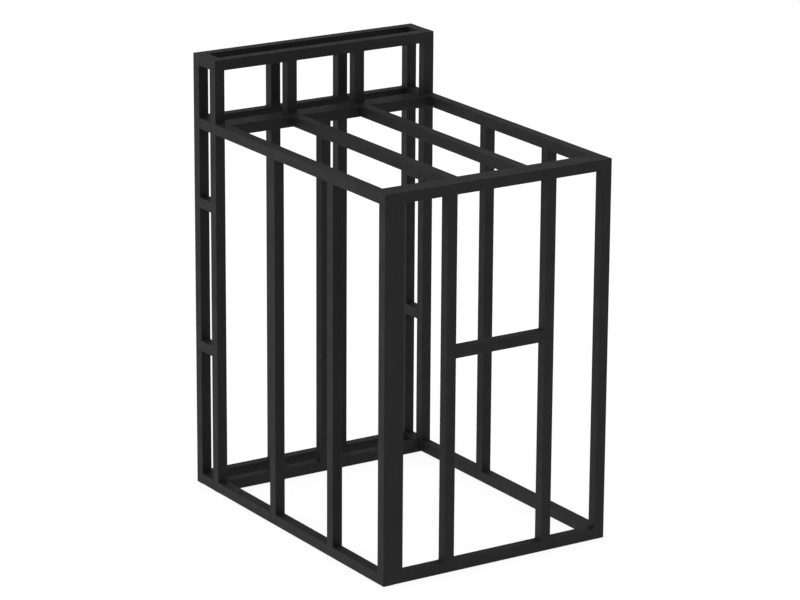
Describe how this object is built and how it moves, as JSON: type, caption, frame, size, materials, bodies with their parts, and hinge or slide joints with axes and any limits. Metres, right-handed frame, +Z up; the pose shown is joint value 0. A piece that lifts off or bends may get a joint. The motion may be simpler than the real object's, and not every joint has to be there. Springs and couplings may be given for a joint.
{
  "type": "firewood log rack",
  "caption": "Open box cage of black square steel tube for stacked firewood, with barred sides and roof and a raised double back wall.",
  "frame": {"origin": "middle of the footprint, on the floor", "axes": "+Z up, +Y from the open front to the double back wall, +X to the rack's right seen from the front"},
  "size_m": [0.6, 0.828, 1.05],
  "materials": {
    "tube": "matt black powder coat on mild steel tube",
    "weld_metal": "matt black powder coat over ground and as-laid welds"
  },
  "bodies": {
    "root": {"flush_welds": "weld_metal", "front_frame_bottom_rail": "tube", "front_frame_cross_rail": "tube", "front_frame_inner_post_left": "tube", "front_frame_inner_post_right": "tube", "front_frame_left_post": "tube", "front_frame_right_post": "tube", "front_frame_top_rail": "tube", "front_frame_weld_beads": "weld_metal", "inner_back_bottom_rail": "tube", "inner_back_centre_post": "tube", "inner_back_left_post": "tube", "inner_back_middle_rail": "tube", "inner_back_right_post": "tube", "inner_back_top_rail": "tube", "inner_back_upper_post_left": "tube", "inner_back_upper_post_right": "tube", "inner_back_weld_beads": "weld_metal", "left_side_bottom_rail": "tube", "left_side_corner_post": "tube", "left_side_front_post": "tube", "left_side_rear_post": "tube", "left_side_top_rail": "tube", "left_side_weld_beads": "weld_metal", "outer_back_bottom_rail": "tube", "outer_back_inner_post_left": "tube", "outer_back_inner_post_right": "tube", "outer_back_left_post": "tube", "outer_back_middle_rail_centre": "tube", "outer_back_middle_rail_left": "tube", "outer_back_middle_rail_right": "tube", "outer_back_right_post": "tube", "outer_back_top_rail": "tube", "outer_back_weld_beads": "weld_metal", "right_side_bottom_rail": "tube", "right_side_front_post": "tube", "right_side_rear_post": "tube", "right_side_top_rail": "tube", "right_side_weld_beads": "weld_metal", "roof_bar_left": "tube", "roof_bar_right": "tube", "roof_front_rail": "tube", "roof_rear_rail": "tube", "roof_weld_beads": "weld_metal", "spacer_left_bottom": "tube", "spacer_left_lower": "tube", "spacer_left_roof": "tube", "spacer_left_top": "tube", "spacer_left_upper": "tube", "spacer_right_bottom": "tube", "spacer_right_lower": "tube", "spacer_right_roof": "tube", "spacer_right_top": "tube", "spacer_right_upper": "tube", "spacer_weld_beads": "weld_metal"}
  },
  "joints": []
}
